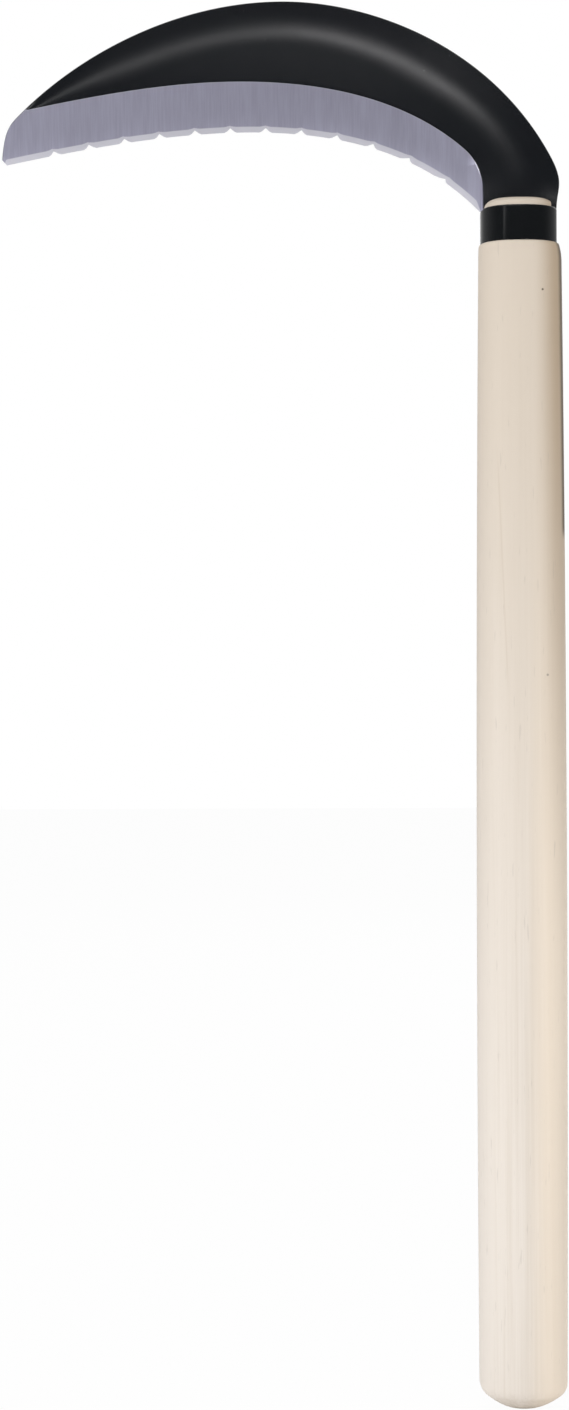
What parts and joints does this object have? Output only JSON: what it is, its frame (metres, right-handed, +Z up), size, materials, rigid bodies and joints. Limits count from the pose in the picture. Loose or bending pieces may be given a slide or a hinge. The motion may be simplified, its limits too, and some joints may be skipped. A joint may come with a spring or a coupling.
{
  "type": "weeding sickle",
  "caption": "Long-handled hand sickle with a broad crescent blade, notched cutting edge, oval ferrule and oval wooden handle.",
  "frame": {"origin": "centre of the flat on the handle's butt", "axes": "+Z up along the handle towards the blade, -X towards the blade's tip, -Y towards the face with the ground bevel"},
  "size_m": [0.1874, 0.0238, 0.4685],
  "materials": {
    "blade_steel": "black lacquer over forged steel, with the bevel along the edge ground bare",
    "handle_wood": "bare pale wood, sanded smooth, grain along the handle",
    "ferrule_lacquer": "gloss black lacquer over sheet steel",
    "nail_steel": "plain round nail"
  },
  "bodies": {
    "root": {"blade": "blade_steel", "handle": "handle_wood", "ferrule": "ferrule_lacquer", "tang_nail": "nail_steel"}
  },
  "joints": []
}
